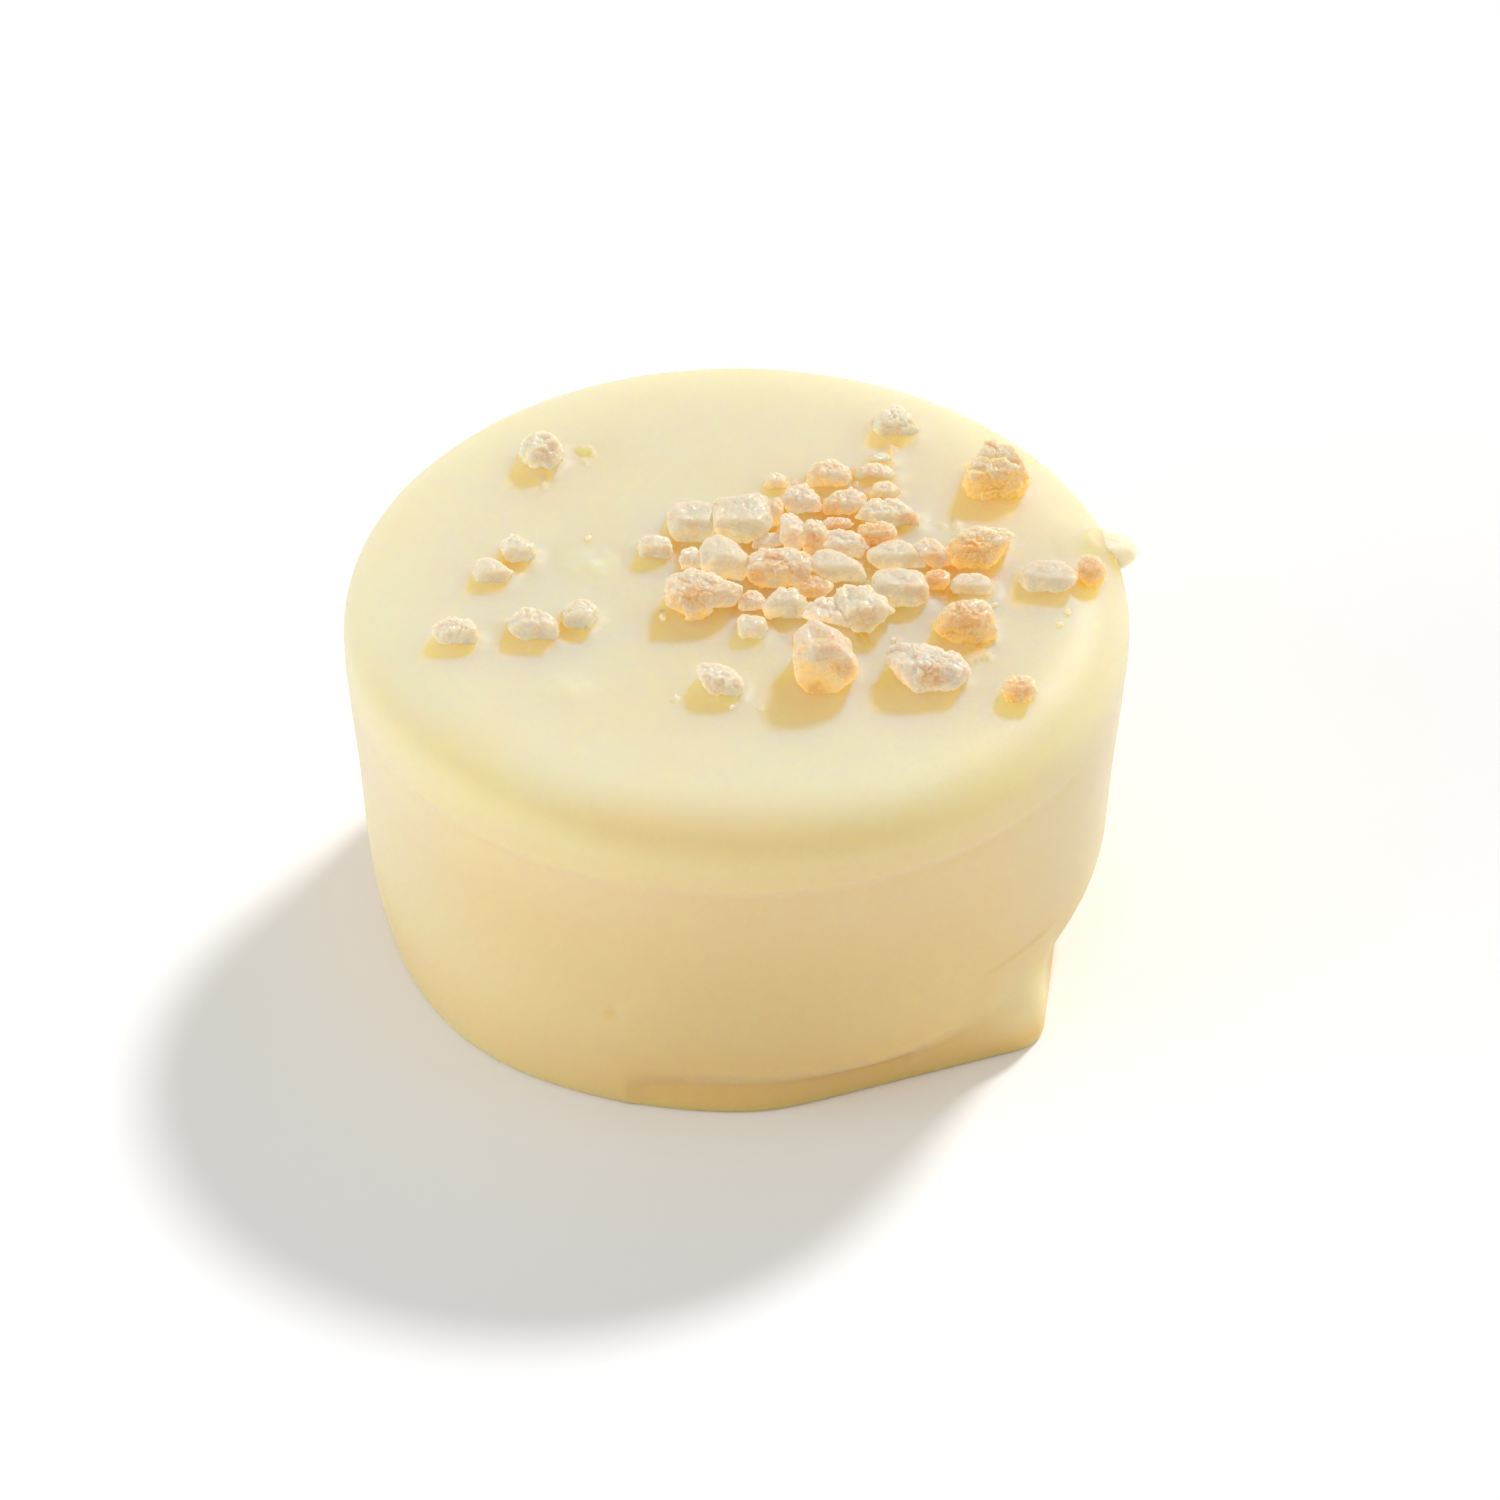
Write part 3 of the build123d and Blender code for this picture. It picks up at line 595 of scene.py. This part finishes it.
def math_node(nodes, links, op, a, b=None, clamp=False):
    m = nodes.new("ShaderNodeMath")
    m.operation = op
    m.use_clamp = clamp
    for i, v in enumerate((a, b)):
        if v is None:
            continue
        if isinstance(v, (int, float)):
            m.inputs[i].default_value = v
        else:
            links.new(v, m.inputs[i])
    return m.outputs[0]


def span(nodes, links, value, a, b, top=1.0):
    """0 where the value is a, rising to top where it is b."""
    m = nodes.new("ShaderNodeMapRange")
    m.inputs["From Min"].default_value = a
    m.inputs["From Max"].default_value = b
    m.inputs["To Max"].default_value = top
    links.new(value, m.inputs["Value"])
    return m.outputs["Result"]


def soap_material(name="soap", skin=False):
    """The cast soap; as a skin it is the thin film of it over a coated grain."""
    mat = bpy.data.materials.new(name)
    nt, nodes, links, bsdf = nodes_of(mat)
    tc = nodes.new("ShaderNodeTexCoord")
    co = tc.outputs["Object"]
    big = noise_node(nodes, links, co, 45.0, 3.0)
    fine = noise_node(nodes, links, co, 420.0, 4.0, 0.6)
    # paler at the top and deeper coloured at the foot: painted golden light through the soap and painted shade near the
    # table, where the scattering would lose too much red
    sep = nodes.new("ShaderNodeSeparateXYZ")
    links.new(co, sep.inputs[0])
    level = math_node(nodes, links, "MULTIPLY", sep.outputs["Z"], 1000.0 / 30.0)
    level = math_node(nodes, links, "ADD", level, math_node(nodes, links, "MULTIPLY", math_node(nodes, links, "SUBTRACT", big, 0.5), 0.16))
    col = ramp(nodes, [(0.02, (0.86, 0.56, 0.19)), (0.25, (0.86, 0.63, 0.275)), (0.60, (0.85, 0.65, 0.32)), (0.84, (0.84, 0.68, 0.37)), (0.91, (0.83, 0.69, 0.39)), (0.955, (0.81, 0.705, 0.445)), (0.985, (0.78, 0.725, 0.505))], level, links)
    col = mix_color(nodes, links, col, (0.92, 0.84, 0.62), math_node(nodes, links, "MULTIPLY", fine, 0.10), "MIX")
    # fitted to how this light leaves the puck: paler sides, a more golden front of the rim, a lighter left of the foot
    col = mix_color(nodes, links, col, (0.72, 0.69, 0.56),
                    math_node(nodes, links, "MULTIPLY", span(nodes, links, math_node(nodes, links, "ABSOLUTE", sep.outputs["X"]), 0.0195, 0.0290, 0.38),
                              span(nodes, links, sep.outputs["Z"], 0.004, 0.012)))
    col = mix_color(nodes, links, col, (0.79, 0.62, 0.34),
                    math_node(nodes, links, "MULTIPLY", span(nodes, links, math_node(nodes, links, "MULTIPLY", sep.outputs["Y"], -1.0), 0.0235, 0.0275, 0.55),
                              span(nodes, links, sep.outputs["Z"], 0.0265, 0.0282)))
    col = mix_color(nodes, links, col, (0.90, 0.74, 0.42),
                    math_node(nodes, links, "MULTIPLY", span(nodes, links, math_node(nodes, links, "MULTIPLY", sep.outputs["X"], -1.0), 0.004, 0.018, 0.35),
                              span(nodes, links, sep.outputs["Z"], 0.018, 0.010)))
    # painted light: the tip of the drip is paler, as if lit through from behind
    thin = nodes.new("ShaderNodeAttribute")
    thin.attribute_name = "thin"
    col = mix_color(nodes, links, col, (0.89, 0.77, 0.44), math_node(nodes, links, "MULTIPLY", thin.outputs["Fac"], 0.8, True))
    # golden where light through the grains falls, for this key light only, and painted amber light where they crowd
    halo = nodes.new("ShaderNodeAttribute")
    halo.attribute_name = "halo"
    col = mix_color(nodes, links, col, (0.95, 0.79, 0.39), math_node(nodes, links, "MULTIPLY", halo.outputs["Fac"], 0.90, True), "MIX")
    amber_crowd_light = nodes.new("ShaderNodeAttribute")
    amber_crowd_light.attribute_name = "amber_crowd_light"
    col = mix_color(nodes, links, col, (0.95, 0.60, 0.13), math_node(nodes, links, "MULTIPLY", amber_crowd_light.outputs["Fac"], 0.95, True), "MIX")
    links.new(col, bsdf.inputs["Base Color"])
    rough = nodes.new("ShaderNodeMapRange")
    rough.inputs["To Min"].default_value = 0.40
    rough.inputs["To Max"].default_value = 0.56
    links.new(noise_node(nodes, links, co, 160.0, 3.0), rough.inputs["Value"])
    links.new(rough.outputs["Result"], bsdf.inputs["Roughness"])
    bsdf.inputs["IOR"].default_value = 1.45
    bsdf.inputs["Specular IOR Level"].default_value = 0.30
    bsdf.inputs["Subsurface Weight"].default_value = 1.0
    bsdf.inputs["Subsurface Radius"].default_value = (1.0, 0.80, 0.45) if skin else (1.0, 0.72, 0.10)
    # shorter scatter towards the foot, which keeps the colour of its shaded faces
    deep = nodes.new("ShaderNodeMapRange")
    deep.inputs["From Min"].default_value = 0.004
    deep.inputs["From Max"].default_value = 0.018
    deep.inputs["To Min"].default_value = 0.0008 if skin else 0.002
    deep.inputs["To Max"].default_value = 0.0010 if skin else 0.012
    links.new(sep.outputs["Z"], deep.inputs["Value"])
    links.new(deep.outputs["Result"], bsdf.inputs["Subsurface Scale"])
    # painted light: the skin glows a little, for the light that the soap would scatter into it
    if skin:
        links.new(mix_color(nodes, links, col, (0.80, 0.72, 0.50), 0.5), bsdf.inputs["Emission Color"])
        bsdf.inputs["Emission Strength"].default_value = 0.30
    bsdf.inputs["Sheen Weight"].default_value = 0.12
    bsdf.inputs["Sheen Roughness"].default_value = 0.5
    bsdf.inputs["Sheen Tint"].default_value = (1.0, 1.0, 1.0, 1.0)
    bump = nodes.new("ShaderNodeBump")
    bump.inputs["Strength"].default_value = 0.25
    bump.inputs["Distance"].default_value = 0.00012
    links.new(math_node(nodes, links, "ADD", noise_node(nodes, links, co, 900.0, 4.0, 0.6), math_node(nodes, links, "MULTIPLY", fine, 1.5)), bump.inputs["Height"])
    links.new(bump.outputs["Normal"], bsdf.inputs["Normal"])
    return mat


TONES = {
    # light, body and deep colour, what shines through at each, how far the deep colour reaches,
    # and how strongly brown specks show
    "salt_frosted": ((0.50, 0.468, 0.395), (0.60, 0.51, 0.36), (0.66, 0.46, 0.18),
                     (0.26, 0.215, 0.150), (0.46, 0.350, 0.190), (0.54, 0.325, 0.080), 0.64, 0.40),
    "salt_clear": ((0.50, 0.468, 0.380), (0.60, 0.51, 0.34), (0.66, 0.45, 0.14),
                   (0.26, 0.215, 0.130), (0.47, 0.365, 0.180), (0.55, 0.335, 0.065), 0.64, 0.20),
    "salt_peach": ((0.50, 0.455, 0.360), (0.60, 0.44, 0.20), (0.62, 0.39, 0.12),
                   (0.26, 0.205, 0.130), (0.47, 0.295, 0.100), (0.52, 0.295, 0.065), 0.72, 0.60),
    "salt_amber": ((0.50, 0.450, 0.335), (0.60, 0.41, 0.15), (0.60, 0.36, 0.09),
                   (0.26, 0.205, 0.115), (0.46, 0.285, 0.080), (0.50, 0.290, 0.050), 0.80, 0.70),
    "salt_pale": ((0.50, 0.480, 0.385), (0.58, 0.50, 0.34), (0.64, 0.49, 0.24),
                  (0.28, 0.240, 0.160), (0.42, 0.345, 0.195), (0.49, 0.360, 0.145), 0.52, 0.12),
}


def salt_material(slot):
    light, body, deep, glow_light, glow_body, glow_deep, reach_of_deep, speck = TONES[slot]
    mat = bpy.data.materials.new(slot)
    nt, nodes, links, bsdf = nodes_of(mat)
    tc = nodes.new("ShaderNodeTexCoord")
    co = tc.outputs["Object"]
    frost_and_shade = nodes.new("ShaderNodeAttribute")
    frost_and_shade.attribute_name = "frost_and_shade"
    cloud = noise_node(nodes, links, co, 620.0, 4.0, 0.6)
    grain = noise_node(nodes, links, co, 2800.0, 3.0, 0.7)
    cells = nodes.new("ShaderNodeTexVoronoi")
    cells.inputs["Scale"].default_value = 5200.0
    links.new(co, cells.inputs["Vector"])
    tint = nodes.new("ShaderNodeSeparateColor")
    links.new(cells.outputs["Color"], tint.inputs[0])
    # frosted where it stands up and is rubbed; clearer and deeper coloured in the creases and at the foot, partly as
    # painted shade, and paler towards the key light as painted light
    k = math_node(nodes, links, "MULTIPLY", frost_and_shade.outputs["Fac"], 1.45)
    k = math_node(nodes, links, "ADD", k, math_node(nodes, links, "MULTIPLY", cloud, 0.80))
    k = math_node(nodes, links, "ADD", k, math_node(nodes, links, "MULTIPLY", grain, 0.20))
    k = math_node(nodes, links, "ADD", k, math_node(nodes, links, "MULTIPLY", tint.outputs[0], 0.12))
    k = math_node(nodes, links, "SUBTRACT", k, reach_of_deep, clamp=True)
    col = ramp(nodes, [(0.15, deep), (0.45, body), (0.80, light)], k, links)
    brown = nodes.new("ShaderNodeMapRange")
    brown.inputs["From Min"].default_value = 0.54
    brown.inputs["From Max"].default_value = 0.66
    brown.inputs["To Max"].default_value = speck
    links.new(noise_node(nodes, links, co, 1500.0, 4.0, 0.7), brown.inputs["Value"])
    col = mix_color(nodes, links, col, (0.50, 0.27, 0.09), brown.outputs["Result"], "MIX")
    earth = nodes.new("ShaderNodeAttribute")
    earth.attribute_name = "earth"
    # a net of fine lighter veins breaks the brown up
    veins = math_node(nodes, links, "MULTIPLY", math_node(nodes, links, "SUBTRACT", 1.25, math_node(nodes, links, "MULTIPLY", tint.outputs[0], 0.9)), earth.outputs["Fac"], True)
    col = mix_color(nodes, links, col, (0.47, 0.265, 0.10), math_node(nodes, links, "MULTIPLY", veins, 0.85), "MIX")
    links.new(col, bsdf.inputs["Base Color"])
    rr = nodes.new("ShaderNodeMapRange")
    rr.inputs["To Min"].default_value = 0.22
    rr.inputs["To Max"].default_value = 0.72
    links.new(tint.outputs[1], rr.inputs["Value"])
    links.new(rr.outputs["Result"], bsdf.inputs["Roughness"])
    bsdf.inputs["IOR"].default_value = 1.52
    bsdf.inputs["Subsurface Weight"].default_value = 1.0
    bsdf.inputs["Subsurface Radius"].default_value = (1.0, 0.50, 0.22)
    bsdf.inputs["Subsurface Scale"].default_value = 0.0024
    # stands in for light that comes through the grain, which a see-through shader would give
    glow = ramp(nodes, [(0.15, glow_deep), (0.45, glow_body), (0.80, glow_light)], k, links)
    glow = mix_color(nodes, links, glow, (0.30, 0.150, 0.050), math_node(nodes, links, "MULTIPLY", veins, 0.85), "MIX")
    links.new(glow, bsdf.inputs["Emission Color"])
    bsdf.inputs["Emission Strength"].default_value = 1.0
    bump = nodes.new("ShaderNodeBump")
    bump.inputs["Strength"].default_value = 0.5
    bump.inputs["Distance"].default_value = 0.00008
    links.new(math_node(nodes, links, "ADD", grain, math_node(nodes, links, "MULTIPLY", tint.outputs[2], 0.5)), bump.inputs["Height"])
    links.new(bump.outputs["Normal"], bsdf.inputs["Normal"])
    return mat


def floor_material():
    mat = bpy.data.materials.new("table_white")
    nt, nodes, links, bsdf = nodes_of(mat)
    tc = nodes.new("ShaderNodeTexCoord")
    n = noise_node(nodes, links, tc.outputs["Object"], 30.0, 2.0)
    col = ramp(nodes, [(0.3, (0.90, 0.900, 0.915)), (0.7, (0.91, 0.910, 0.925))], n, links)
    links.new(col, bsdf.inputs["Base Color"])
    bsdf.inputs["Roughness"].default_value = 0.9
    bsdf.inputs["Specular IOR Level"].default_value = 0.1
    # the studio sweep is exposed lighter than what it bounces onto the puck
    path = nodes.new("ShaderNodeLightPath")
    bsdf.inputs["Emission Color"].default_value = (1.0, 0.985, 0.95, 1.0)
    links.new(math_node(nodes, links, "MULTIPLY", path.outputs["Is Camera Ray"], 0.08), bsdf.inputs["Emission Strength"])
    return mat


# ---------------------------------------------------------------- pieces ----
slots = {s["node"]: s["material_slot"] for s in frame["record"]["subparts"]}

salt = {s: salt_material(s) for s in TONES}
soap_look = soap_material()
coat_look = soap_material("soap_coat", True)
shapes, CLIMB = {}, {}
for i, n in enumerate(sorted(top_nodes)):
    if n in BURIED:
        level = 4
    else:
        level = 6 if reach[n] > 2.9 else 5
    ob = crystal_mesh("salt_" + n, n, 11 + i, level)
    ob.data.materials.append(coat_look if n in COATED else salt["salt_pale"] if n in PALE else salt[slots[n]])
    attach(ob, "root")
    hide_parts(n)
    shapes[n] = BVHTree.FromPolygons([v.co * 1000.0 for v in ob.data.vertices], [tuple(p.vertices) for p in ob.data.polygons])
    CLIMB[n] = (1.3, 0.9) if n in COATED else (0.45, 0.50) if slots[n] == "salt_clear" or n in PALE else (0.28, 0.34)

soap = soap_mesh()
soap.data.materials.append(soap_look)
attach(soap, "root")
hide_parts("soap_cake")

# the fine crumbs of salt, one mesh of separate grains
parts_v, parts_f, parts_k, base = [], [], [], 0
for i, (gv, gf) in enumerate(islands(frame["nodes"]["salt_grit"].data)):
    tree = BVHTree.FromPolygons([Vector(v) for v in gv], gf)
    W, F, frost_and_shade = grain_shape(tree, gv.min(0), gv.max(0), 301 + i, 4, "plain")
    parts_v.append(W)
    parts_f += [tuple(base + j for j in f) for f in F]
    parts_k.append(frost_and_shade)
    base += len(W)
grit = make_object("salt_crumbs", np.concatenate(parts_v) * MM, parts_f)
point_value(grit, "frost_and_shade", np.concatenate(parts_k))
grit.data.materials.append(salt["salt_frosted"])
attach(grit, "root")
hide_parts("salt_grit")

# ----------------------------------------------------------------- floor ----
bm = bmesh.new()
bmesh.ops.create_grid(bm, x_segments=8, y_segments=8, size=3.0)
fl = bpy.data.meshes.new("table")
bm.to_mesh(fl)
bm.free()
floor = bpy.data.objects.new("table", fl)
scene.collection.objects.link(floor)
floor.location = (0, 0, -0.00002)
fl.materials.append(floor_material())

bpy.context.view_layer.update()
